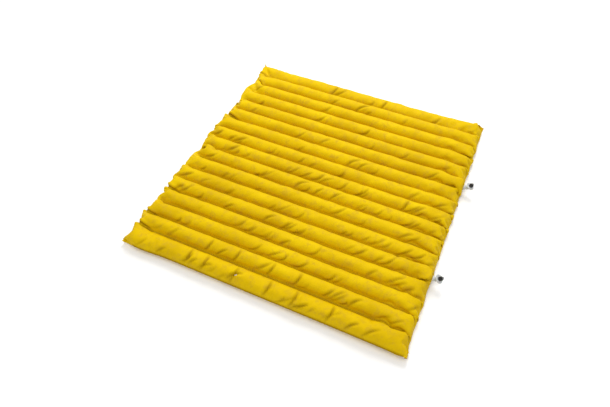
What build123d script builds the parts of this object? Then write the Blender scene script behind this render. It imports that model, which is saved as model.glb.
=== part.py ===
"""An inflatable sleeping pad: seventeen air tubes side by side in a quilted cover, in two air circuits, each
with its own twist valve. Millimetres, +Z up, +X along the tubes towards the valves, +Y across the tubes.
The origin is on the ground under the middle of the pad."""

from math import cos, radians, sin, sqrt
import os

from build123d import *

# Driving dimensions of the pad
TUBES = 17
PITCH = 60.0  # from one tube's middle to the next
PAD_LENGTH = 990.0  # along the tubes, from hem edge to hem edge
END_HEM = 12.0  # flat double fabric beyond the tubes' ends
SIDE_HEM = 4.0  # flat double fabric outside the first and last tube
WEB = 2.0  # flat double fabric between neighbouring tubes
FABRIC = 1.0  # wall of the cover
GROUND_FLAT = 1.0  # how far the ground presses each tube in
END_TAPER = 45.0  # length over which a tube closes to its flat end
CREST_CLEARANCE = 3.0  # how far above a tube's crest its closing arc starts
FILM_GAP = 0.2  # between the cover and the air bladder
FILM = 0.8  # wall of the air bladder

# Driving dimensions of the links that join bladders of one circuit
LINK_X = 400.0
LINK_RADIUS = 4.0
LINK_BORE = 3.0
LINK_LENGTH = 14.0
LINK_FLANGE_RADIUS = 6.0
LINK_FLANGE = 1.0
LINK_CLEARANCE = 0.3

# Driving dimensions of the valves
CIRCUITS = (range(1, 10), range(10, 18))  # tube numbers, counted from the +Y side
VALVES = {"a": (6, 65.0), "b": (13, 50.0)}  # the tube that each valve feeds, and its upward tilt
NECK_RADIUS = 7.0
NECK_BORE = 4.0
NECK_BEND = 14.0
NECK_TAIL = 4.0  # straight end of the neck, which the base's spigot fills
NECK_START_X = 462.0
NECK_BEND_X = 499.0
BOOT_RADIUS = 8.5
BOOT_START_X = 466.0
BOOT_FLANGE_RADIUS = 15.0
BOOT_FLANGE = 1.5
BASE_RADIUS = 15.0
BASE_DISC = 3.0
BASE_BOSS_RADIUS = 4.9
BASE_BOSS_TOP = 9.0
BASE_BORE = 3.0
POST_RADIUS = 1.4
POST_HEAD_RADIUS = 2.1
POST_HEAD_BOTTOM = 15.4
POST_TOP = 17.8
POST_LEG_HEIGHT = 2.0
POST_LEG_WIDTH = 1.2
SEAL_SECTION = 0.7
SEAL_HEIGHT = 7.0
CAP_RADIUS = 7.2
CAP_BOTTOM = 3.6
CAP_SHOULDER = 12.0
CAP_BORE = 5.0
CAP_BORE_TOP = 11.0
CAP_GRIPS = 14
NOZZLE_RADIUS = 4.0
NOZZLE_TOP = 18.0
NOZZLE_BORE = 3.0  # wide part of the air passage
SEAT_BOTTOM = 15.2  # the passage narrows here, around the post's head
SEAT_BORE = 2.15
RUNNING = 0.05  # radial clearance of parts that slide or push together

TUBE_RADIUS = (PITCH - WEB) / 2
SEAM_Z = TUBE_RADIUS - GROUND_FLAT
CHAMBER_END = PAD_LENGTH / 2 - END_HEM
TAPER_START = CHAMBER_END - END_TAPER
BASE_SPIGOT = NECK_TAIL
TAPER_TOP = TUBE_RADIUS + CREST_CLEARANCE
TAPER_DROP = TAPER_TOP - FABRIC
TAPER_RADIUS = (END_TAPER**2 + TAPER_DROP**2) / (2 * TAPER_DROP)
PAD_WIDTH = TUBES * PITCH + 2 * SIDE_HEM


def tube_y(number):
    """Middle of a tube, counted from 1 at the +Y side."""
    return ((TUBES + 1) / 2 - number) * PITCH


def finish(part, label):
    """Labels a finished piece and writes it as its own file."""
    part.label = label
    export_step(part, f"parts/{label}.step")


def end_profile(inset):
    """Side view that trims the tubes' ends, pulled in by inset: arcs close on the seam at both ends.
    They start above the tubes' crests, so that they cut each crest at an angle."""
    radius = TAPER_RADIUS - inset
    rise = TAPER_RADIUS - TAPER_TOP
    tip = TAPER_START + sqrt(radius**2 - rise**2)
    half_way = TAPER_START + (tip - TAPER_START) * 0.6
    mid_z = sqrt(radius**2 - (half_way - TAPER_START) ** 2) - rise
    top = radius - rise
    with BuildSketch(Plane.XZ.offset(-PAD_WIDTH)) as profile:
        with BuildLine():
            Line((-TAPER_START, SEAM_Z + top), (TAPER_START, SEAM_Z + top))
            ThreePointArc((TAPER_START, SEAM_Z + top), (half_way, SEAM_Z + mid_z), (tip, SEAM_Z))
            ThreePointArc((tip, SEAM_Z), (half_way, SEAM_Z - mid_z), (TAPER_START, SEAM_Z - top))
            Line((TAPER_START, SEAM_Z - top), (-TAPER_START, SEAM_Z - top))
            ThreePointArc((-TAPER_START, SEAM_Z - top), (-half_way, SEAM_Z - mid_z), (-tip, SEAM_Z))
            ThreePointArc((-tip, SEAM_Z), (-half_way, SEAM_Z + mid_z), (-TAPER_START, SEAM_Z + top))
        make_face()
    return profile.sketch


def tube_body(inset, numbers):
    """Full tubes of the given numbers, every surface pulled in by inset, flat where they stand on the ground."""
    with BuildPart() as body:
        with BuildSketch(Plane.YZ.offset(-CHAMBER_END)):
            with Locations([(tube_y(n), SEAM_Z) for n in numbers]):
                Circle(TUBE_RADIUS - inset)
        extrude(amount=2 * CHAMBER_END)
        extrude(end_profile(inset), amount=2 * PAD_WIDTH, mode=Mode.INTERSECT)
        with BuildSketch(Plane.XY.offset(inset)):
            Rectangle(2 * PAD_LENGTH, 2 * PAD_WIDTH)
        extrude(amount=PAD_WIDTH, mode=Mode.INTERSECT)
    return body.part


def valve_holes(radius, start_x):
    """Straight holes along X where the valves leave the pad."""
    with BuildPart() as holes:
        with BuildSketch(Plane.YZ.offset(start_x)):
            with Locations([(tube_y(tube), SEAM_Z) for tube, _ in VALVES.values()]):
                Circle(radius)
        extrude(amount=PAD_LENGTH / 2)
    return holes.part


def linked_pairs():
    """Neighbouring tubes that share an air circuit."""
    return [(n, n + 1) for circuit in CIRCUITS for n in circuit if n + 1 in circuit]


def link_holes(radius):
    """Holes along Y through the seams, where links join neighbouring bladders."""
    with BuildPart() as holes:
        for near, far in linked_pairs():
            middle = (tube_y(near) + tube_y(far)) / 2
            with BuildSketch(Plane.XZ.offset(-middle)):
                with Locations((LINK_X, SEAM_Z)):
                    Circle(radius)
            extrude(amount=LINK_LENGTH / 2, both=True)
    return holes.part


def cover(label, side):
    """One half of the quilted cover: side is 1 above the seam and -1 below it."""
    plate_bottom = SEAM_Z if side > 0 else SEAM_Z - FABRIC
    numbers = range(1, TUBES + 1)
    with BuildPart() as half:
        add(tube_body(0, numbers))
        with BuildSketch(Plane.XY.offset(SEAM_Z)):
            Rectangle(2 * PAD_LENGTH, 2 * PAD_WIDTH)
        extrude(amount=side * PAD_WIDTH, mode=Mode.INTERSECT)
        with BuildSketch(Plane.XY.offset(plate_bottom)):
            Rectangle(PAD_LENGTH, PAD_WIDTH)
        extrude(amount=FABRIC)
        add(tube_body(FABRIC, numbers), mode=Mode.SUBTRACT)
        add(valve_holes(BOOT_RADIUS + RUNNING, TAPER_START), mode=Mode.SUBTRACT)
        add(link_holes(LINK_RADIUS + LINK_CLEARANCE), mode=Mode.SUBTRACT)
    finish(half.part, label)


def bladder(number):
    """One hollow air tube, with holes for its links and its valve."""
    inset = FABRIC + FILM_GAP
    with BuildPart() as tube:
        add(tube_body(inset, [number]))
        add(tube_body(inset + FILM, [number]), mode=Mode.SUBTRACT)
        add(link_holes(LINK_RADIUS + RUNNING), mode=Mode.SUBTRACT)
        add(valve_holes(BOOT_RADIUS + RUNNING, TAPER_START), mode=Mode.SUBTRACT)
    finish(tube.part, f"air_bladder_{number:02d}")


def link(near, far):
    """A short pipe with a flange inside each of the two bladders that it joins."""
    middle = (tube_y(near) + tube_y(far)) / 2
    pipe_plane = Plane.XZ.offset(-middle)
    with BuildPart() as pipe:
        with BuildSketch(pipe_plane):
            with Locations((LINK_X, SEAM_Z)):
                Circle(LINK_RADIUS)
        extrude(amount=LINK_LENGTH / 2, both=True)
        for end in (-1, 1):
            with BuildSketch(pipe_plane.offset(end * LINK_LENGTH / 2)):
                with Locations((LINK_X, SEAM_Z)):
                    Circle(LINK_FLANGE_RADIUS)
            extrude(amount=-end * LINK_FLANGE)
        with BuildSketch(pipe_plane):
            with Locations((LINK_X, SEAM_Z)):
                Circle(LINK_BORE)
        extrude(amount=LINK_LENGTH, both=True, mode=Mode.SUBTRACT)
    finish(pipe.part, f"air_link_{near:02d}_{far:02d}")


def stitching():
    """The thread that lies along each groove between two tubes."""
    thread_radius = WEB / 4
    with BuildPart() as threads:
        with BuildSketch(Plane.YZ.offset(-TAPER_START)):
            with Locations([(tube_y(n) - PITCH / 2, SEAM_Z + FABRIC + thread_radius) for n in range(1, TUBES)]):
                Circle(thread_radius)
        extrude(amount=LINK_X - LINK_LENGTH + TAPER_START)
    finish(threads.part, "groove_stitching")


def head_plane(tube, tilt):
    """The plane at the end of a valve's neck, its Z axis along the valve's head."""
    lean = radians(tilt)
    origin = (
        NECK_BEND_X + NECK_BEND * sin(lean) + NECK_TAIL * cos(lean),
        tube_y(tube),
        SEAM_Z + NECK_BEND * (1 - cos(lean)) + NECK_TAIL * sin(lean),
    )
    return Plane(origin=origin, x_dir=(0, 1, 0), z_dir=(cos(lean), 0, sin(lean)))


def valve_boot(name, tube):
    """The sleeve welded into the bladder's end, with its flange inside the bladder."""
    with BuildPart() as boot:
        with BuildSketch(Plane.YZ.offset(BOOT_START_X)):
            with Locations((tube_y(tube), SEAM_Z)):
                Circle(BOOT_RADIUS)
        extrude(amount=NECK_BEND_X - BOOT_START_X)
        with BuildSketch(Plane.YZ.offset(BOOT_START_X)):
            with Locations((tube_y(tube), SEAM_Z)):
                Circle(BOOT_FLANGE_RADIUS)
        extrude(amount=BOOT_FLANGE)
        with BuildSketch(Plane.YZ.offset(BOOT_START_X)):
            with Locations((tube_y(tube), SEAM_Z)):
                Circle(NECK_RADIUS + RUNNING)
        extrude(amount=NECK_BEND_X - BOOT_START_X, mode=Mode.SUBTRACT)
    finish(boot.part, f"valve_{name}_boot")


def valve_neck(name, tube, tilt, head):
    """The soft elbow pipe from inside the bladder up to the valve's head."""
    y = tube_y(tube)
    with BuildPart() as neck:
        with BuildLine() as path:
            run = Line((NECK_START_X, y, SEAM_Z), (NECK_BEND_X, y, SEAM_Z))
            half = radians(tilt / 2)
            bend = ThreePointArc(
                run @ 1,
                (NECK_BEND_X + NECK_BEND * sin(half), y, SEAM_Z + NECK_BEND * (1 - cos(half))),
                head.origin - head.z_dir * NECK_TAIL,
            )
            Line(bend @ 1, head.origin)
        with BuildSketch(Plane.YZ.offset(NECK_START_X)):
            with Locations((y, SEAM_Z)):
                Circle(NECK_RADIUS)
                Circle(NECK_BORE, mode=Mode.SUBTRACT)
        sweep(path=path.line)
    finish(neck.part, f"valve_{name}_neck")


def valve_base(name, head):
    """The round disc that the cap screws onto, with a spigot that pushes into the neck."""
    with BuildPart() as base:
        with BuildSketch(head.offset(-BASE_SPIGOT)):
            Circle(NECK_BORE - RUNNING)
        extrude(amount=BASE_SPIGOT)
        with BuildSketch(head):
            Circle(BASE_RADIUS)
        extrude(amount=BASE_DISC)
        fillet(base.edges().filter_by(GeomType.CIRCLE).group_by(SortBy.RADIUS)[-1], BASE_DISC * 0.4)
        with BuildSketch(head.offset(BASE_DISC)):
            Circle(BASE_BOSS_RADIUS)
        extrude(amount=BASE_BOSS_TOP - BASE_DISC)
        with BuildSketch(head.offset(-BASE_SPIGOT)):
            Circle(BASE_BORE)
        extrude(amount=BASE_SPIGOT + BASE_BOSS_TOP, mode=Mode.SUBTRACT)
        with BuildSketch(head.offset(SEAL_HEIGHT - SEAL_SECTION)):
            Circle(BASE_BOSS_RADIUS + RUNNING)
            Circle(BASE_BOSS_RADIUS - SEAL_SECTION, mode=Mode.SUBTRACT)
        extrude(amount=BASE_BOSS_TOP - SEAL_HEIGHT + SEAL_SECTION, mode=Mode.SUBTRACT)
    finish(base.part, f"valve_{name}_base")


def valve_post(name, head):
    """The central stopper: a three-legged spider in the base's bore, and a pin whose head closes the nozzle."""
    with BuildPart() as post:
        with BuildSketch(head.offset(-BASE_SPIGOT)):
            with PolarLocations(0, 3):
                Rectangle(BASE_BORE - RUNNING, POST_LEG_WIDTH, align=(Align.MIN, Align.CENTER))
            Circle(BASE_BORE - RUNNING, mode=Mode.INTERSECT)
        extrude(amount=POST_LEG_HEIGHT)
        with BuildSketch(head.offset(-BASE_SPIGOT)):
            Circle(POST_RADIUS)
        extrude(amount=POST_HEAD_BOTTOM + BASE_SPIGOT)
        with BuildSketch(head.offset(POST_HEAD_BOTTOM)):
            Circle(POST_HEAD_RADIUS)
        extrude(amount=POST_TOP - POST_HEAD_BOTTOM)
    finish(post.part, f"valve_{name}_post")


def valve_seal(name, head):
    """The ring seal on the boss, which lifts with the cap."""
    with BuildPart() as seal:
        with BuildSketch(head.offset(SEAL_HEIGHT)):
            Circle(CAP_BORE - RUNNING)
            Circle(BASE_BOSS_RADIUS - SEAL_SECTION + RUNNING, mode=Mode.SUBTRACT)
        extrude(amount=2 * SEAL_SECTION)
    finish(seal.part, f"valve_{name}_seal")


def valve_cap(name, head):
    """The gripped twist cap with the nozzle that is blown into."""
    grip_radius = CAP_RADIUS * 0.11
    with BuildPart() as cap:
        with BuildSketch(head.offset(CAP_BOTTOM)):
            Circle(CAP_RADIUS)
            with PolarLocations(CAP_RADIUS, CAP_GRIPS):
                Circle(grip_radius, mode=Mode.SUBTRACT)
        extrude(amount=CAP_SHOULDER - CAP_BOTTOM)
        with BuildSketch(head.offset(CAP_SHOULDER)):
            Circle(NOZZLE_RADIUS)
        extrude(amount=NOZZLE_TOP - CAP_SHOULDER)
        with BuildSketch(head.offset(CAP_BOTTOM)):
            Circle(CAP_BORE)
        extrude(amount=CAP_BORE_TOP - CAP_BOTTOM, mode=Mode.SUBTRACT)
        with BuildSketch(head.offset(CAP_BOTTOM)):
            Circle(NOZZLE_BORE)
        extrude(amount=SEAT_BOTTOM - CAP_BOTTOM, mode=Mode.SUBTRACT)
        with BuildSketch(head.offset(CAP_BOTTOM)):
            Circle(SEAT_BORE)
        extrude(amount=NOZZLE_TOP, mode=Mode.SUBTRACT)
    finish(cap.part, f"valve_{name}_cap")


os.makedirs("parts", exist_ok=True)
cover("cover_top", 1)
cover("cover_bottom", -1)
stitching()
for tube_number in range(1, TUBES + 1):
    bladder(tube_number)
for first, second in linked_pairs():
    link(first, second)
for valve_name, (valve_tube, valve_tilt) in VALVES.items():
    valve_head = head_plane(valve_tube, valve_tilt)
    valve_boot(valve_name, valve_tube)
    valve_neck(valve_name, valve_tube, valve_tilt, valve_head)
    valve_base(valve_name, valve_head)
    valve_post(valve_name, valve_head)
    valve_seal(valve_name, valve_head)
    valve_cap(valve_name, valve_head)
    print(valve_name, "head origin", valve_head.origin, "axis", valve_head.z_dir)
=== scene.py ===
"""Looks of the inflatable sleeping pad. The quilted cover is inflated here by a cloth simulation on a grid
of fabric points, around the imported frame. Metres; +X along the tubes towards the valves, +Z up."""

import bpy
import numpy as np
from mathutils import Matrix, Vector


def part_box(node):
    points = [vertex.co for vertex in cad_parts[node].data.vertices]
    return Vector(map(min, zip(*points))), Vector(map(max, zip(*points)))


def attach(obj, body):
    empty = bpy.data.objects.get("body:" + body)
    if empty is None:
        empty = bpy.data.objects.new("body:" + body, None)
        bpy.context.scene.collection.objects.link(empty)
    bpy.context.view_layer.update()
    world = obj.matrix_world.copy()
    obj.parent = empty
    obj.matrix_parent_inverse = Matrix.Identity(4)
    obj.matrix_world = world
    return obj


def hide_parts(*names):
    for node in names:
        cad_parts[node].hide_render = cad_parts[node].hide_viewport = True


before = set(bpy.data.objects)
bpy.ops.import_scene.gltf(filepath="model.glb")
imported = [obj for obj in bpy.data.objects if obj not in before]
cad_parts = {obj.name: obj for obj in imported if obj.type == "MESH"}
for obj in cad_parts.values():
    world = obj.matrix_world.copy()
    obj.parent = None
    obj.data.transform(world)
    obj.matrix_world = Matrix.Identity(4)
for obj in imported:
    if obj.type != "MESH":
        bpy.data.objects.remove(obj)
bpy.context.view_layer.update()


def middle(node):
    """Centre of a CAD node's box."""
    low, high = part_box(node)
    return (low + high) / 2


def add_object(name, data):
    """A new object in the scene around a mesh, light or camera."""
    made = bpy.data.objects.new(name, data)
    bpy.context.scene.collection.objects.link(made)
    return made


# The frame's own sizes
TUBES = sum(name.startswith("air_bladder_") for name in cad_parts)
PITCH = middle("air_bladder_01").y - middle("air_bladder_02").y
SEAM_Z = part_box("cover_top")[0].z
HALF_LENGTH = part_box("cover_top")[1].x
LINK_X = middle("air_link_01_02").x
VALVES = ("valve_a", "valve_b")

# Fabric and its simulation
ARC = 1.553 * PITCH  # fabric across one tube, on each panel
CELLS = 11  # fabric cells across one tube
CELL = ARC / CELLS
HEM_CELLS = 1
FLAT_LENGTH = 2.080 * HALF_LENGTH  # fabric between the two end seams
ARC_ANGLE = 1.52  # half the angle that a tube's panel starts at, in radians
START_STRETCH = 0.985  # how far apart the rows start, against the flat fabric
STEPS = 420
PRESSURE = 3e-5  # outward push on a point in one step
WEIGHT = 4e-6  # downward push on a point in one step
DRAG = 0.93  # share of its speed that a point keeps from step to step
FABRIC = 0.0006  # thickness of the fabric
BLADDER_INSET = 0.0085  # deeper than any one crease
BLADDER_END_CELLS = (7, 5)  # cells between an end seam and the bladders, at the left and right end
HEM_SHARE = 0.35  # how much of a side hem's cell shows; the end hems fold under
HEM_TUCK = (0.003, 0.0015)  # how far the end hems fold in and down
LEFT_GROOVE_END = (0.056, 0.096)  # least and most distance from the end seam to where a groove stops
RIGHT_GROOVE_END = (0.024, 0.050)
LOBE_ENDS = (0, 1.8, 4.2, 5.5, 7.0, 9.3, 12.6, 14.6, 15.5, 17)  # notches of the left edge, in tubes from +Y
LOBE_DEPTH = 0.028
FULL_LOBE = 2.4  # tubes across a lobe that has the full depth
NOTCH_SHARE = 0.97  # keeps the round lobes from ending in a vertical step
GATHER = {-1: (0.31, 0.055), 1: (0.24, 0.022)}  # share of the width drawn in at each end seam, and how far in
SEAM_DROP = {-1: 0.015, 1: 0.019}  # how far each end seam rolls under
TIPS = {
    (-1, 1): (0.003, 0.024, 0.040),
    (1, 1): (0.0, 0.017, 0.026),
    (1, -1): (0.0, 0.009, 0.012),
    (-1, -1): (0.006, 0.012, 0.020),
}  # by side along X and Y: how far a corner is drawn out along each, and its height
SLEEVE_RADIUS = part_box("valve_a_neck")[1].y - middle("valve_a_neck").y + 0.0028
FLANGE_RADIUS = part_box("valve_a_boot")[1].y - middle("valve_a_boot").y + 0.0015
FLANGE_END_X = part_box("valve_a_boot")[0].x + 0.004
FLANGE_LENGTH = 0.008
LINK_CLEARANCE = 0.0095  # height kept over and under the seam's level above a pipe
LINK_TOP = 0.005  # half the length that has the full clearance
LINK_SLOPE = 0.7
LINK_OPENING = 2.1 * CELL  # half the gap in a groove's seam around a pipe
LINK_REACH = 3 * CELL  # half the length over which the fabric is kept clear of a pipe
VALVE_RISE_CELLS = 3.5  # how far from a neck the end seam has come down
RIGHT_SEAM_X = HALF_LENGTH - 0.004

# Share of the way to its resting place that a held point moves in one step
GROOVE_HOLD = 0.08
LEFT_SEAM_HOLD = 0.10
RIGHT_SEAM_HOLD = 0.06
SEAM_HEIGHT_HOLD = 0.08
TIP_HOLD = 0.5

# The shape that the panels start from
END_ROUNDING = 0.05
LOBED_FROM, LOBED_OVER = 0.095, 0.06  # where the left end turns from tubes to lobes, and over what length
LOBE_EDGE, LOBE_RISE = 0.004, 0.026
WAVES = 26
WAVE_REACH = 0.03
WAVE_DEPTH = {-1: 0.012, 1: 0.004}  # at each end
UNEVENNESS = 0.0004

random = np.random.default_rng(11)


# ---------------------------------------------------------------- fabric pattern

COLUMNS = TUBES * CELLS + 1 + 2 * HEM_CELLS
ROWS = int(round(FLAT_LENGTH / CELL)) + 1 + 2 * HEM_CELLS
ALONG = (np.arange(ROWS) - (ROWS - 1) / 2) * CELL  # flat place of each row, along the tubes
SEAM_ALONG = ALONG[-1] - HEM_CELLS * CELL
TUBE_PLACE = np.clip((np.arange(COLUMNS) - HEM_CELLS) / CELLS, 0, TUBES)  # in tubes from the +Y side
GROOVE_COLUMNS = HEM_CELLS + CELLS * np.arange(1, TUBES)
LEFT_ENDS = random.uniform(*LEFT_GROOVE_END, TUBES - 1)
RIGHT_ENDS = random.uniform(*RIGHT_GROOVE_END, TUBES - 1)
GROOVE_Y = TUBES * PITCH / 2 - PITCH * np.arange(1, TUBES) + random.normal(0, 0.0009, TUBES - 1)


def lobe_notches():
    """The two notches that each column's lobe lies between, in tubes from +Y."""
    ends = np.array(LOBE_ENDS)
    lobe = np.clip(np.searchsorted(ends, TUBE_PLACE) - 1, 0, len(ends) - 2)
    return ends[lobe], ends[lobe + 1]


def lobe_shares():
    """How far each column is from the middle of its lobe, near -1 at one notch and near 1 at the next."""
    start, end = lobe_notches()
    return np.clip((2 * TUBE_PLACE - start - end) / (end - start), -NOTCH_SHARE, NOTCH_SHARE)


def starting_shape():
    """Both panels as round tubes, lobed at the left end and a little wavy at both ends.

    The array goes by panel, row, column and xyz."""
    phase = TUBE_PLACE - np.floor(TUBE_PLACE)
    angle = (phase * 2 - 1) * ARC_ANGLE
    radius = PITCH / 2 / np.sin(ARC_ANGLE)
    in_tube = phase > 0
    even = TUBE_PLACE * PITCH
    tube_middle = np.floor(TUBE_PLACE) * PITCH + PITCH / 2
    across = np.where(in_tube, tube_middle + radius * np.sin(angle), even)
    height = np.where(in_tube, radius * (np.cos(angle) - np.cos(ARC_ANGLE)), 0)
    across[0] -= CELL
    across[-1] += CELL
    inward = SEAM_ALONG - np.abs(ALONG)
    closing = np.sqrt(np.clip(1 - (1 - np.clip(inward / END_ROUNDING, 0, 1)) ** 2, 0, 1))
    points = np.zeros((2, ROWS, COLUMNS, 3))
    points[..., 0] = ALONG[None, :, None] * START_STRETCH
    lobed = np.clip((LOBED_FROM - (SEAM_ALONG + ALONG)) / LOBED_OVER, 0, 1)[:, None]
    across = (1 - lobed) * across + lobed * even
    height = (1 - lobed) * height + lobed * (LOBE_EDGE + LOBE_RISE * np.sqrt(1 - lobe_shares() ** 2))
    points[..., 1] = TUBES * PITCH / 2 - across
    for panel, up in enumerate((1, -1)):
        points[panel, ..., 2] = SEAM_Z + up * height * closing[:, None]
    near_end = np.exp(-np.clip(inward, 0, 1) / WAVE_REACH)
    for side, depth in WAVE_DEPTH.items():
        wave = np.zeros(COLUMNS)
        for k in range(WAVES):
            turns = 2 * np.pi * (k / 2 + 0.5) * TUBE_PLACE / TUBES
            wave += random.normal() * np.sin(turns + random.uniform(0, 2 * np.pi)) / 4
        points[..., 2] += depth * ((np.sign(ALONG) == side) * near_end)[:, None] * wave
    points += random.normal(0, UNEVENNESS, points.shape[1:])
    return points.astype(np.float32)


def seams():
    """Where the two panels are sewn together: hems, edges and grooves, open around the valves and links."""
    sewn = np.zeros((ROWS, COLUMNS), bool)
    rim = HEM_CELLS + 1
    sewn[:rim] = sewn[-rim:] = True
    sewn[:, :rim] = sewn[:, -rim:] = True
    for groove, column in enumerate(GROOVE_COLUMNS):
        inside = (ALONG > LEFT_ENDS[groove] - SEAM_ALONG) & (ALONG < SEAM_ALONG - RIGHT_ENDS[groove])
        sewn[inside, column] = True
        if f"air_link_{groove + 1:02d}_{groove + 2:02d}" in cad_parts:
            sewn[np.abs(ALONG - LINK_X) < LINK_OPENING, column] = False
    for valve in VALVES:
        column = valve_column(valve)
        sewn[-rim:, column - 1 : column + 2] = False
    return sewn


def valve_column(valve):
    """The fabric column that a valve's neck leaves through."""
    place = TUBES / 2 - middle(valve + "_boot").y / PITCH
    return int(round(place * CELLS)) + HEM_CELLS


# ---------------------------------------------------------------- simulation


def spans(count, gap):
    """Start indices, as slices, of sets of point pairs a gap apart in which no point occurs twice."""
    found = []
    for offset in range(2 * gap):
        starts = range(offset, count - gap, 2 * gap)
        if len(starts):
            last = starts[-1]
            found.append((slice(offset, last + 1, 2 * gap), slice(offset + gap, last + gap + 1, 2 * gap)))
    return found


def fabric_links():
    """The threads of the fabric as (points, other points, length, stiffness): weave, bias and bending."""
    every = slice(None)
    links = []
    drawn = np.ones(ROWS)
    for side, (share, reach) in GATHER.items():
        inward = np.clip(SEAM_ALONG - side * ALONG, 0, None)
        drawn -= share * np.exp(-inward / reach)
    width = (CELL * drawn).astype(np.float32)[None, :, None, None]
    for a, b in spans(ROWS, 1):
        links.append(((every, a, every), (every, b, every), CELL, 1.0))
    for a, b in spans(COLUMNS, 1):
        links.append(((every, every, a), (every, every, b), width, 1.0))
    for a, b in spans(ROWS, 1):
        for near, far in ((slice(0, -1), slice(1, None)), (slice(1, None), slice(0, -1))):
            bias = np.sqrt(CELL**2 + width[:, a] ** 2)
            links.append(((every, a, near), (every, b, far), bias, 0.35))
    for a, b in spans(ROWS, 2):
        links.append(((every, a, every), (every, b, every), 2 * CELL, 0.10))
    for a, b in spans(COLUMNS, 2):
        links.append(((every, every, a), (every, every, b), 2 * width, 0.03))
    return links


def pull(points, a, b, length, stiffness):
    """Moves each pair of points towards its length apart."""
    gap = points[b] - points[a]
    now = np.sqrt((gap * gap).sum(-1, keepdims=True)) + 1e-9
    gap *= 0.5 * stiffness * (now - length) / now
    points[a] += gap
    points[b] -= gap


def keep_clear_of_valves(points):
    """Pushes the fabric off the valves' sleeves and inner flanges."""
    for valve in VALVES:
        axis = middle(valve + "_boot")
        column = valve_column(valve)
        near = points[:, -10:, column - 6 : column + 7]
        radius = np.where(near[..., 0] > FLANGE_END_X, SLEEVE_RADIUS, FLANGE_RADIUS)
        radius = np.where(near[..., 0] < FLANGE_END_X - FLANGE_LENGTH, 0, radius)
        off_y, off_z = near[..., 1] - axis.y, near[..., 2] - axis.z
        away = np.sqrt(off_y**2 + off_z**2) + 1e-9
        grow = np.where(away < radius, radius / away, 1)
        near[..., 1] = axis.y + off_y * grow
        near[..., 2] = axis.z + off_z * grow


def keep_clear_of_links(points):
    """Lifts the two panels off the pipes that pass through the grooves."""
    rows = np.flatnonzero(np.abs(ALONG - LINK_X) < LINK_REACH)
    block = points[np.ix_((0, 1), rows, GROOVE_COLUMNS)]
    rise = LINK_CLEARANCE - np.clip(np.abs(block[..., 0] - LINK_X) - LINK_TOP, 0, None) * LINK_SLOPE
    for panel, (up, farther) in enumerate(((1, np.maximum), (-1, np.minimum))):
        height = block[panel, ..., 2]
        cleared = farther(height, SEAM_Z + up * rise[panel])
        block[panel, ..., 2] = np.where(rise[panel] > 0, cleared, height)
    points[np.ix_((0, 1), rows, GROOVE_COLUMNS)] = block


def left_edge():
    """Where the left end seam rests along X: rounded lobes, each about one to three tubes wide."""
    start, end = lobe_notches()
    depth = LOBE_DEPTH * np.minimum(1, (end - start) / FULL_LOBE)
    edge = depth * (1 - np.sqrt(1 - lobe_shares() ** 2))
    return (edge - HALF_LENGTH).astype(np.float32)


def corner_tips():
    """Each drawn-out corner as its row, its column and where it is held."""
    tips = []
    for (side_x, side_y), (out_x, out_y, height) in TIPS.items():
        row = HEM_CELLS if side_x < 0 else -1 - HEM_CELLS
        column = HEM_CELLS if side_y > 0 else -1 - HEM_CELLS
        place = (side_x * (HALF_LENGTH + out_x), side_y * (TUBES * PITCH / 2 + out_y), height)
        tips.append((row, column, np.array(place, np.float32)))
    return tips


def seam_heights():
    """Height that each end seam rolls to, at full height only around the valves' necks."""
    heights = {side: np.full(COLUMNS, SEAM_Z - drop, np.float32) for side, drop in SEAM_DROP.items()}
    for valve in VALVES:
        away = np.abs(np.arange(COLUMNS) - valve_column(valve))
        heights[1] += SEAM_DROP[1] * np.exp(-((away / VALVE_RISE_CELLS) ** 4)).astype(np.float32)
    return heights


def keep_to_own_side(points, rows):
    """Stops a tube's fabric from crossing the grooves on either side of it."""
    groove_y = points[0][rows][:, GROOVE_COLUMNS, 1]
    edge = np.full((len(groove_y), 1), 1, np.float32)
    low = np.concatenate([groove_y, -edge], 1)[None, :, :, None]
    high = np.concatenate([edge, groove_y], 1)[None, :, :, None]
    inner = slice(HEM_CELLS, HEM_CELLS + TUBES * CELLS)
    block = points[:, rows, inner]
    shape = block.shape
    block = block.reshape(2, shape[1], TUBES, CELLS, 3)
    block[..., 1] = np.clip(block[..., 1], low, high)
    points[:, rows, inner] = block.reshape(shape)


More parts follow.
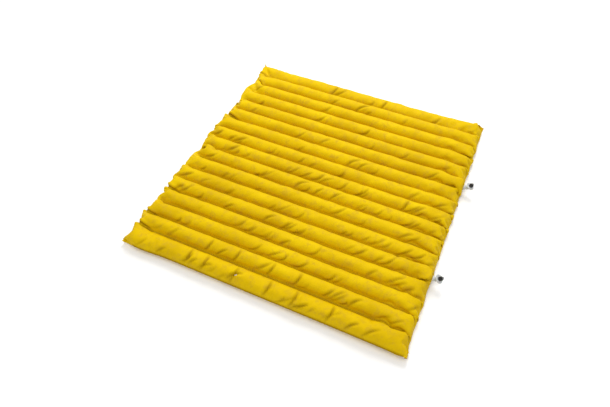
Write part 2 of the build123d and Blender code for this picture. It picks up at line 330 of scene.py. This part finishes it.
def inflate(steps):
    """Blows up the two panels until they rest, and returns their points."""
    points = starting_shape()
    before = points.copy()
    sewn = seams()
    links = fabric_links()
    grooved = np.abs(ALONG) < SEAM_ALONG - LEFT_GROOVE_END[1]
    outward = np.array([1, -1], np.float32).reshape(2, 1, 1, 1)
    groove_y = GROOVE_Y.astype(np.float32)
    anchored = np.ix_((0, 1), np.flatnonzero(grooved), GROOVE_COLUMNS, (1,))
    edge = left_edge()
    heights = seam_heights()
    tips = corner_tips()
    for _ in range(steps):
        speed = (points - before) * DRAG
        before = points.copy()
        down_rows = points[:, 2:, 1:-1] - points[:, :-2, 1:-1]
        down_columns = points[:, 1:-1, 2:] - points[:, 1:-1, :-2]
        push = np.cross(down_columns, down_rows) * outward / (4 * CELL * CELL)
        points += speed
        points[:, 1:-1, 1:-1] += push * PRESSURE
        points[..., 2] -= WEIGHT
        for a, b, length, stiffness in links:
            pull(points, a, b, length, stiffness)
        points[anchored] += GROOVE_HOLD * (groove_y[None, None, :, None] - points[anchored])
        points[:, HEM_CELLS, :, 0] += LEFT_SEAM_HOLD * (edge - points[:, HEM_CELLS, :, 0])
        right_seam = points[:, -1 - HEM_CELLS, :, 0]
        right_seam += RIGHT_SEAM_HOLD * (RIGHT_SEAM_X - right_seam)
        for side, row in ((-1, HEM_CELLS), (1, -1 - HEM_CELLS)):
            points[:, row, :, 2] += SEAM_HEIGHT_HOLD * (heights[side] - points[:, row, :, 2])
        for row, column, place in tips:
            points[:, row, column] += TIP_HOLD * (place - points[:, row, column])
        joined = (points[0][sewn] + points[1][sewn]) / 2
        points[0][sewn] = joined
        points[1][sewn] = joined
        keep_to_own_side(points, grooved)
        keep_clear_of_valves(points)
        keep_clear_of_links(points)
        np.maximum(points[..., 2], 0, out=points[..., 2])
    for hem, seam, inward in ((0, 1, 1), (-1, -2, -1)):
        points[:, :, hem] = points[:, :, seam] + HEM_SHARE * (points[:, :, hem] - points[:, :, seam])
        points[:, hem] = points[:, seam] + np.array([HEM_TUCK[0] * inward, 0, -HEM_TUCK[1]], np.float32)
    np.maximum(points[..., 2], 0, out=points[..., 2])
    return points.astype(float)


# ---------------------------------------------------------------- finer fabric with creases

PUCKER_DEPTH = 0.0006
STREAK_DEPTH = 0.0011
STREAK_SWELL = 0.0003  # how far the fabric stands out between streaks
RANDOM_CREASES = 170  # on each panel
CROSS_CREASES = (-0.50, -0.38, -0.17, 0.06, 0.235, 0.47)  # on the last tube, as shares of the half length
LONE_CREASES = ((0, -0.28), (0, 0.15), (15, -0.42), (15, -0.22), (15, 0.02), (15, 0.20), (8, 0.62))
SLIT_OVERLAP = 0.012  # how far a slit runs along its groove
# painted shade along the sewn grooves: how dark it is, and how wide
GROOVE_SHADE = 0.85
GROOVE_SHADE_WIDTH = 0.0040
LEAST_HEIGHT = 0.0002

def finer(grid, axis):
    """Twice as many cells along one axis, on smooth curves through the points."""
    grid = np.moveaxis(grid, axis, 0)
    first, last = 2 * grid[0] - grid[1], 2 * grid[-1] - grid[-2]
    wide = np.concatenate([first[None], grid, last[None]])
    between = (9 * (wide[1:-2] + wide[2:-1]) - wide[:-3] - wide[3:]) / 16
    out = np.empty((2 * len(grid) - 1, *grid.shape[1:]))
    out[::2], out[1::2] = grid, between
    return np.moveaxis(out, 0, axis)


def normals(panel, up):
    """Outward unit normals of one panel's grid."""
    along, across = np.gradient(panel, axis=0), np.gradient(panel, axis=1)
    out = np.cross(across, along) * up
    return out / (np.linalg.norm(out, axis=-1, keepdims=True) + 1e-12)


def blur(field, axis, times):
    """Smooths a field along one axis, a number of times."""
    for _ in range(times):
        field = (np.roll(field, 1, axis) + 2 * field + np.roll(field, -1, axis)) / 4
    return field


def streaks(shape, length, width):
    """Random streaks, of unit spread, that run diagonally over a panel: towards the valves and the back."""
    noise = random.normal(size=shape)
    total = np.zeros(shape)
    for k in range(length):
        total += np.roll(noise, (k, -k), (0, 1)) * np.sin(np.pi * (k + 0.5) / length)
    total = blur(blur(total, 0, width), 1, width)
    return total / total.std()


def crease(depth, painted_fold_shade, along, across, start, end, deep, width, bow=0.0):
    """Adds one crease between two places on the flat fabric, deepest in its middle, and painted shade along
    one side of it.
    """
    start, end = np.array(start), np.array(end)
    run = end - start
    length = np.hypot(*run)
    run = run / length
    side = np.array([-run[1], run[0]])
    rel_u, rel_w = along - start[0], across - start[1]
    t = (rel_u * run[0] + rel_w * run[1]) / length
    s = rel_u * side[0] + rel_w * side[1] - bow * np.sin(np.pi * np.clip(t, 0, 1)) * length
    fade = np.sin(np.pi * np.clip(t, 0, 1)) ** 0.7
    valley = np.exp(-((s / width) ** 2))
    lip = 0.5 * np.exp(-(((np.abs(s) - 2.1 * width) / (1.2 * width)) ** 2))
    depth += deep * fade * (lip - valley)
    # painted shade on one side of the crease
    painted_shade = np.exp(-(((s + 0.35 * width) / (0.75 * width)) ** 2))
    np.maximum(painted_fold_shade, np.clip(deep / 0.004, 0, 1) * fade * painted_shade, out=painted_fold_shade)


def relief(shape, phase, number):
    """Soft puckers and diagonal streaks over a whole panel, with the most streaks on the front tubes."""
    on_tube = np.sin(np.pi * phase)
    front = np.clip((phase - 0.3) / 0.4, 0, 1)
    busy = 0.35 + 0.65 * np.clip((number - 5) / 5, 0, 1)
    puckers = blur(blur(random.normal(size=shape), 0, 10), 1, 6)
    depth = PUCKER_DEPTH * puckers / puckers.std() * on_tube**0.5
    fine = streaks(shape, 9, 2)
    depth -= STREAK_DEPTH * np.clip(fine - 0.7, 0, 2.2) * on_tube**0.6 * (0.35 + 0.65 * front) * busy
    depth += STREAK_SWELL * np.clip(-fine, 0, 2) * on_tube**0.6
    return depth


def press_random_creases(depth, painted_fold_shade, along, across, up):
    """Short creases that run from low on the -Y side of a tube up towards the valves."""
    for _ in range(RANDOM_CREASES):
        tube = random.integers(0, TUBES)
        if up > 0 and random.random() < 0.55:
            tube = random.integers(7, TUBES)
        begin = random.uniform(-0.93, 0.90) * SEAM_ALONG
        low_end = (tube + random.uniform(0.86, 0.98)) * ARC
        reach = random.uniform(0.022, 0.060)
        top_end = low_end - min(reach, 0.045) * random.uniform(0.7, 1.1)
        deep = random.uniform(0.0015, 0.0042)
        wide = random.uniform(0.0029, 0.0050)
        bow = random.uniform(-0.1, 0.22)
        crease(depth, painted_fold_shade, along, across, (begin, low_end), (begin + reach, top_end), deep, wide, bow)


def press_placed_creases(depth, painted_fold_shade, along, across):
    """Creases across the last tube, and a few on other tubes."""
    for share in CROSS_CREASES:
        begin = share * SEAM_ALONG
        start = (begin, (TUBES - 0.04) * ARC)
        end = (begin + 0.014, (TUBES - 0.78) * ARC)
        crease(depth, painted_fold_shade, along, across, start, end, 0.0062, 0.0050, 0.1)
    for tube, share in LONE_CREASES:
        begin = share * SEAM_ALONG
        start = (begin, (tube + 0.95) * ARC)
        end = (begin + 0.020, (tube + 0.35) * ARC)
        crease(depth, painted_fold_shade, along, across, start, end, 0.0046, 0.0046, 0.1)


def press_end_slits(slits, painted_fold_shade, along, across):
    """Slits at the notches of the left edge and beyond each groove's right end."""
    for notch in (1.0, *LOBE_ENDS[1:-1]):
        groove = int(np.clip(round(notch), 1, TUBES - 1))
        inner = LEFT_ENDS[groove - 1] + SLIT_OVERLAP - SEAM_ALONG
        start = (-SEAM_ALONG - 0.02, notch * ARC)
        crease(slits, painted_fold_shade, along, across, start, (inner, groove * ARC), 0.0080, 0.0056, 0.06)
    for groove in range(1, TUBES):
        outer = (groove + random.choice((-0.4, 0.35))) * ARC
        inner = SEAM_ALONG - RIGHT_ENDS[groove - 1] - SLIT_OVERLAP
        deep = random.uniform(0.002, 0.006)
        end = (SEAM_ALONG - 0.004, outer)
        crease(slits, painted_fold_shade, along, across, (inner, groove * ARC), end, deep, 0.0042, 0.08)


def creased(panel, up):
    """One panel on the finer grid with its creases: points, flat places along and across, and the painted
    shade of its creases and grooves.
    """
    panel = finer(finer(panel, 0), 1)
    rows, columns = panel.shape[:2]
    along = ((np.arange(rows) - (rows - 1) / 2) * CELL / 2)[:, None] + np.zeros((1, columns))
    place = np.clip((np.arange(columns) / 2 - HEM_CELLS) / CELLS, 0, TUBES)
    phase = np.where(place >= TUBES, 1, place - np.floor(place))
    across = (place * ARC)[None, :] + np.zeros((rows, 1))
    depth = relief((rows, columns), phase, np.floor(np.clip(place, 0, TUBES - 0.001)))
    painted_fold_shade = np.zeros((rows, columns))
    press_random_creases(depth, painted_fold_shade, along, across, up)
    if up > 0:
        press_placed_creases(depth, painted_fold_shade, along, across)
    slits = np.zeros((rows, columns))
    press_end_slits(slits, painted_fold_shade, along, across)
    sewn_rows = (along > LEFT_GROOVE_END[0] - SEAM_ALONG) & (along < SEAM_ALONG - RIGHT_GROOVE_END[0])
    # painted shade along the sewn grooves, where the two panels dip together
    near_groove = np.exp(-((np.minimum(phase, 1 - phase) * ARC / GROOVE_SHADE_WIDTH) ** 2)) * sewn_rows
    np.maximum(painted_fold_shade, GROOVE_SHADE * near_groove, out=painted_fold_shade)
    from_seam = SEAM_ALONG - np.abs(along)
    inside = np.clip(from_seam / 0.03, 0, 1)
    at_seam = np.clip(from_seam / 0.008, 0, 1)
    on_tube = np.sin(np.pi * phase)
    depth = depth * inside * (0.15 + 0.85 * on_tube**0.5) + slits * at_seam
    out = panel + normals(panel, up) * depth[..., None]
    out += normals(out, up) * FABRIC / 2
    out[..., 2] = np.maximum(out[..., 2], LEAST_HEIGHT)
    return out, along, across, painted_fold_shade


def grid_mesh(name, points, along, across, painted_fold_shade, up):
    """A sheet mesh over a grid of points, with the flat fabric's places as its UVs, in tenths of a metre,
    and the painted shade of the creases and grooves as an attribute."""
    rows, columns = points.shape[:2]
    index = np.arange(rows * columns).reshape(rows, columns)
    quads = np.stack([index[:-1, :-1], index[1:, :-1], index[1:, 1:], index[:-1, 1:]], -1).reshape(-1, 4)
    if up < 0:
        quads = quads[:, ::-1]
    mesh = bpy.data.meshes.new(name)
    mesh.from_pydata(points.reshape(-1, 3).tolist(), [], quads.tolist())
    mesh.polygons.foreach_set("use_smooth", [True] * len(mesh.polygons))
    layer = mesh.uv_layers.new(name="flat_fabric")
    flat = np.stack([along, across], -1).reshape(-1, 2) * 10
    layer.data.foreach_set("uv", flat[quads.ravel()].ravel())
    painted_shade = mesh.attributes.new("painted_fold_shade", "FLOAT", "POINT")
    painted_shade.data.foreach_set("value", painted_fold_shade.ravel().astype(np.float32))
    mesh.update()
    return add_object(name, mesh)


# ---------------------------------------------------------------- bladders and stitches


def bladder(number, points):
    """One air bladder as a closed tube just inside the inflated cover."""
    first = HEM_CELLS + CELLS * (number - 1)
    left_gap, right_gap = BLADDER_END_CELLS
    rows = slice(HEM_CELLS + left_gap, ROWS - HEM_CELLS - right_gap)
    top = points[0, rows, first + 1 : first + CELLS]
    bottom = points[1, rows, first + 1 : first + CELLS][:, ::-1]
    rings = np.concatenate([top, bottom], 1)
    centre = rings.mean(1, keepdims=True)
    spoke = rings - centre
    away = np.linalg.norm(spoke, axis=-1, keepdims=True)
    count, around = rings.shape[:2]
    from_end = np.minimum(np.arange(count), np.arange(count)[::-1])[:, None, None]
    inset = BLADDER_INSET + 0.006 * np.exp(-from_end / 2)
    rings = centre + spoke * np.clip(1 - inset / away, 0.05, 1)
    vertices = rings.reshape(-1, 3).tolist() + [centre[0, 0].tolist(), centre[-1, 0].tolist()]
    faces = []
    for row in range(count - 1):
        for k in range(around):
            n = (k + 1) % around
            faces.append((row * around + k, row * around + n, (row + 1) * around + n, (row + 1) * around + k))
    for k in range(around):
        n = (k + 1) % around
        faces.append((count * around, n, k))
        faces.append((count * around + 1, (count - 1) * around + k, (count - 1) * around + n))
    mesh = bpy.data.meshes.new(f"bladder_{number:02d}")
    mesh.from_pydata(vertices, [], faces)
    mesh.polygons.foreach_set("use_smooth", [True] * len(mesh.polygons))
    mesh.update()
    return add_object(f"bladder_{number:02d}", mesh)


STITCH_PITCH = 0.006
STITCH_LENGTH = 0.0042
THREAD_RADIUS = 0.00035


def stitch_rows(panels):
    """The thread of the grooves: rows of short stitches on both panels."""
    vertices, faces = [], []
    ring = [(np.cos(a), np.sin(a)) for a in np.pi / 4 + np.pi / 2 * np.arange(4)]
    for (panel, along, _, _), up in zip(panels, (1, -1)):
        for groove, column in enumerate(GROOVE_COLUMNS):
            line = panel[:, 2 * column]
            flat = along[:, 0]
            inside = (flat > LEFT_ENDS[groove] - SEAM_ALONG) & (flat < SEAM_ALONG - RIGHT_ENDS[groove])
            line = line[inside]
            place = np.concatenate([[0], np.cumsum(np.linalg.norm(np.diff(line, axis=0), axis=1))])
            for start in np.arange(0.001, place[-1] - STITCH_LENGTH, STITCH_PITCH):
                base = len(vertices)
                for share, fat, lift in ((0, 0.55, -0.1), (0.5, 1, 0.9), (1, 0.55, -0.1)):
                    at = start + share * STITCH_LENGTH
                    x, y, z = (np.interp(at, place, line[:, k]) for k in range(3))
                    z += up * lift * THREAD_RADIUS
                    for c, s in ring:
                        vertices.append((x, y + c * fat * THREAD_RADIUS, z + s * fat * THREAD_RADIUS))
                for near in (base, base + 4):
                    for k in range(4):
                        n = (k + 1) % 4
                        faces.append((near + k, near + n, near + 4 + n, near + 4 + k))
                faces.append((base + 3, base + 2, base + 1, base))
                faces.append((base + 8, base + 9, base + 10, base + 11))
    mesh = bpy.data.meshes.new("groove_stitches")
    mesh.from_pydata(vertices, [], faces)
    mesh.update()
    return add_object("groove_stitches", mesh)


# ---------------------------------------------------------------- materials


class Shader:
    """A material's node tree with a Principled shader, and short ways to add to it."""

    def __init__(self, name, color, roughness):
        self.material = bpy.data.materials.new(name)
        self.material.use_nodes = True
        self.tree = self.material.node_tree
        self.surface = self.tree.nodes["Principled BSDF"]
        self.surface.inputs["Base Color"].default_value = (*color, 1)
        self.surface.inputs["Roughness"].default_value = roughness

    def node(self, kind, inputs=None, **settings):
        """A new node, its inputs linked to sockets or set to values."""
        made = self.tree.nodes.new(kind)
        for key, value in settings.items():
            setattr(made, key, value)
        for key, value in (inputs or {}).items():
            if isinstance(value, bpy.types.NodeSocket):
                self.tree.links.new(value, made.inputs[key])
            else:
                made.inputs[key].default_value = value
        return made

    def noise(self, vector, scale, detail=3.0, roughness=0.5):
        """A noise texture's value."""
        inputs = {"Vector": vector, "Scale": scale, "Detail": detail, "Roughness": roughness}
        return self.node("ShaderNodeTexNoise", inputs).outputs["Fac"]

    def ramp(self, value, stops):
        """A colour that changes with a value, between stops of position and colour."""
        made = self.node("ShaderNodeValToRGB", {"Fac": value})
        elements = made.color_ramp.elements
        while len(elements) < len(stops):
            elements.new(0.5)
        for element, (position, color) in zip(elements, stops):
            element.position = position
            element.color = (*color, 1)
        return made.outputs["Color"]

    def bump(self, height, strength, distance, under=None):
        """A bumped normal, over another one where given."""
        inputs = {"Height": height, "Strength": strength, "Distance": distance}
        if under is not None:
            inputs["Normal"] = under
        return self.node("ShaderNodeBump", inputs).outputs["Normal"]

    def set(self, socket, value):
        """Links a value to an input of the surface."""
        self.tree.links.new(value, self.surface.inputs[socket])


def cover_fabric():
    """Matte coated nylon: plain weave, uneven dye and rubbed patches, with painted shade in the creases and
    grooves.
    """
    m = Shader("cover_fabric", (0.70, 0.46, 0.0), 0.68)
    m.surface.inputs["Specular IOR Level"].default_value = 0.06
    place = m.node("ShaderNodeTexCoord").outputs
    broad = m.noise(place["Object"], 9.0, 4.0, 0.6)
    base = m.ramp(broad, [(0.30, (0.63, 0.405, 0.0)), (0.50, (0.70, 0.463, 0.0)), (0.72, (0.75, 0.515, 0.0))])
    rubbed = m.noise(place["Object"], 42.0, 6.0, 0.72)
    patches = m.ramp(rubbed, [(0.50, (0, 0, 0)), (0.66, (1, 1, 1))])
    faded = m.node("ShaderNodeMixRGB", {"Fac": patches, "Color1": base, "Color2": (0.60, 0.38, 0.012, 1)})
    # painted shade: the base colour is darkened towards brown in the creases and along the grooves
    painted_fold_shade = m.node("ShaderNodeAttribute", attribute_name="painted_fold_shade").outputs["Fac"]
    painted_shade = m.node("ShaderNodeMath", {0: painted_fold_shade, 1: 0.74}, operation="MULTIPLY").outputs["Value"]
    shades = {"Fac": painted_shade, "Color1": faded.outputs["Color"], "Color2": (0.20, 0.10, 0.0, 1)}
    m.set("Base Color", m.node("ShaderNodeMixRGB", shades).outputs["Color"])
    rough = m.ramp(rubbed, [(0.3, (0.55, 0.55, 0.55)), (0.7, (0.72, 0.72, 0.72))])
    m.set("Roughness", rough)
    normal = None
    for direction in ("X", "Y"):
        threads = m.node(
            "ShaderNodeTexWave",
            {"Vector": place["UV"], "Scale": 95.0, "Distortion": 0.3, "Detail": 1.0},
            wave_type="BANDS",
            bands_direction=direction,
        )
        normal = m.bump(threads.outputs["Fac"], 0.25, 0.0002, normal)
    m.set("Normal", m.bump(m.noise(place["Object"], 160.0, 4.0, 0.6), 0.22, 0.0012, normal))
    return m.material


def molded(name, color, roughness, grain=420.0, specular=0.5, soft=0.0):
    """Moulded plastic or rubber: fine grain and slight colour drift."""
    m = Shader(name, color, roughness)
    m.surface.inputs["Specular IOR Level"].default_value = specular
    m.surface.inputs["Subsurface Weight"].default_value = soft
    place = m.node("ShaderNodeTexCoord").outputs["Object"]
    drift = m.noise(place, 60.0, 4.0)
    low = tuple(0.86 * c for c in color)
    high = tuple(min(1.0, 1.06 * c + 0.004) for c in color)
    m.set("Base Color", m.ramp(drift, [(0.35, low), (0.68, high)]))
    shade = m.ramp(drift, [(0.3, (roughness - 0.06,) * 3), (0.7, (roughness + 0.08,) * 3)])
    m.set("Roughness", shade)
    m.set("Normal", m.bump(m.noise(place, grain, 3.0), 0.18, 0.0004))
    return m.material


def thread_fabric():
    """Twisted yellow sewing thread."""
    m = Shader("thread", (0.74, 0.47, 0.01), 0.7)
    place = m.node("ShaderNodeTexCoord").outputs["Object"]
    shades = [(0.3, (0.60, 0.36, 0.006)), (0.7, (0.80, 0.52, 0.012))]
    m.set("Base Color", m.ramp(m.noise(place, 90.0), shades))
    twist = m.node("ShaderNodeTexWave", {"Vector": place, "Scale": 900.0}, bands_direction="DIAGONAL")
    m.set("Normal", m.bump(twist.outputs["Fac"], 0.4, 0.0002))
    return m.material


# ---------------------------------------------------------------- build

panel_points = inflate(STEPS)
top_panel = creased(panel_points[0], 1)
bottom_panel = creased(panel_points[1], -1)

fabric = cover_fabric()
for name, node, (points, along, across, painted_fold_shade), up in (
    ("quilt_top", "cover_top", top_panel, 1),
    ("quilt_bottom", "cover_bottom", bottom_panel, -1),
):
    quilt = grid_mesh(name, points, along, across, painted_fold_shade, up)
    quilt.data.materials.append(fabric)
    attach(quilt, "pad")
    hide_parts(node)

stitches = stitch_rows((top_panel, bottom_panel))
stitches.data.materials.append(thread_fabric())
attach(stitches, "pad")
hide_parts("groove_stitching")

film = molded("bladder_film", (0.78, 0.78, 0.72), 0.35, grain=150.0)
for number in range(1, TUBES + 1):
    tube = bladder(number, panel_points)
    tube.data.materials.append(film)
    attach(tube, "pad")
    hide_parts(f"air_bladder_{number:02d}")

white = molded("valve_white", (0.58, 0.59, 0.57), 0.42, soft=0.05)
black = molded("valve_black", (0.022, 0.022, 0.024), 0.5)
pale = molded("link_plastic", (0.74, 0.74, 0.70), 0.4)
for node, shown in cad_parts.items():
    if node.startswith("air_link"):
        finish = pale
    elif node.endswith(("_cap", "_seal")):
        finish = black
    elif node.startswith("valve"):
        finish = white
    else:
        continue
    shown.data.materials.clear()
    shown.data.materials.append(finish)


# ---------------------------------------------------------------- floor, light and camera


def floor():
    """The white studio floor."""
    mesh = bpy.data.meshes.new("floor")
    mesh.from_pydata([(-12, -12, 0), (12, -12, 0), (12, 12, 0), (-12, 12, 0)], [], [(0, 1, 2, 3)])
    made = add_object("floor", mesh)
    mesh.materials.append(Shader("floor", (0.97, 0.97, 0.97), 0.9).material)


def softbox(place, size, power):
    """A round lamp that faces the middle of the frame."""
    light = bpy.data.lights.new("softbox", "AREA")
    light.shape = "DISK"
    light.size = size
    light.energy = power
    made = add_object("softbox", light)
    made.location = place
    made.rotation_euler = (Vector((0, 0, 0)) - Vector(place)).to_track_quat("-Z", "Y").to_euler()


floor()
softbox((-0.4, 2.0, 2.3), size=1.8, power=64)
softbox((0.3, -1.2, 3.4), size=3.0, power=45)

world = bpy.data.worlds.new("studio")
world.use_nodes = True
world.node_tree.nodes["Background"].inputs["Color"].default_value = (1, 1, 1, 1)
world.node_tree.nodes["Background"].inputs["Strength"].default_value = 0.60
bpy.context.scene.world = world
bpy.context.scene.view_settings.view_transform = "Standard"

CAMERA_PLACE = (0.475, -1.176, 1.442)
CAMERA_AIM = (-0.2605, 0.5749, -0.776)

camera = add_object("camera", bpy.data.cameras.new("camera"))
camera.location = CAMERA_PLACE
camera.rotation_euler = Vector(CAMERA_AIM).to_track_quat("-Z", "Y").to_euler()
camera.data.sensor_width = 36
camera.data.lens = 30.4
bpy.context.scene.camera = camera
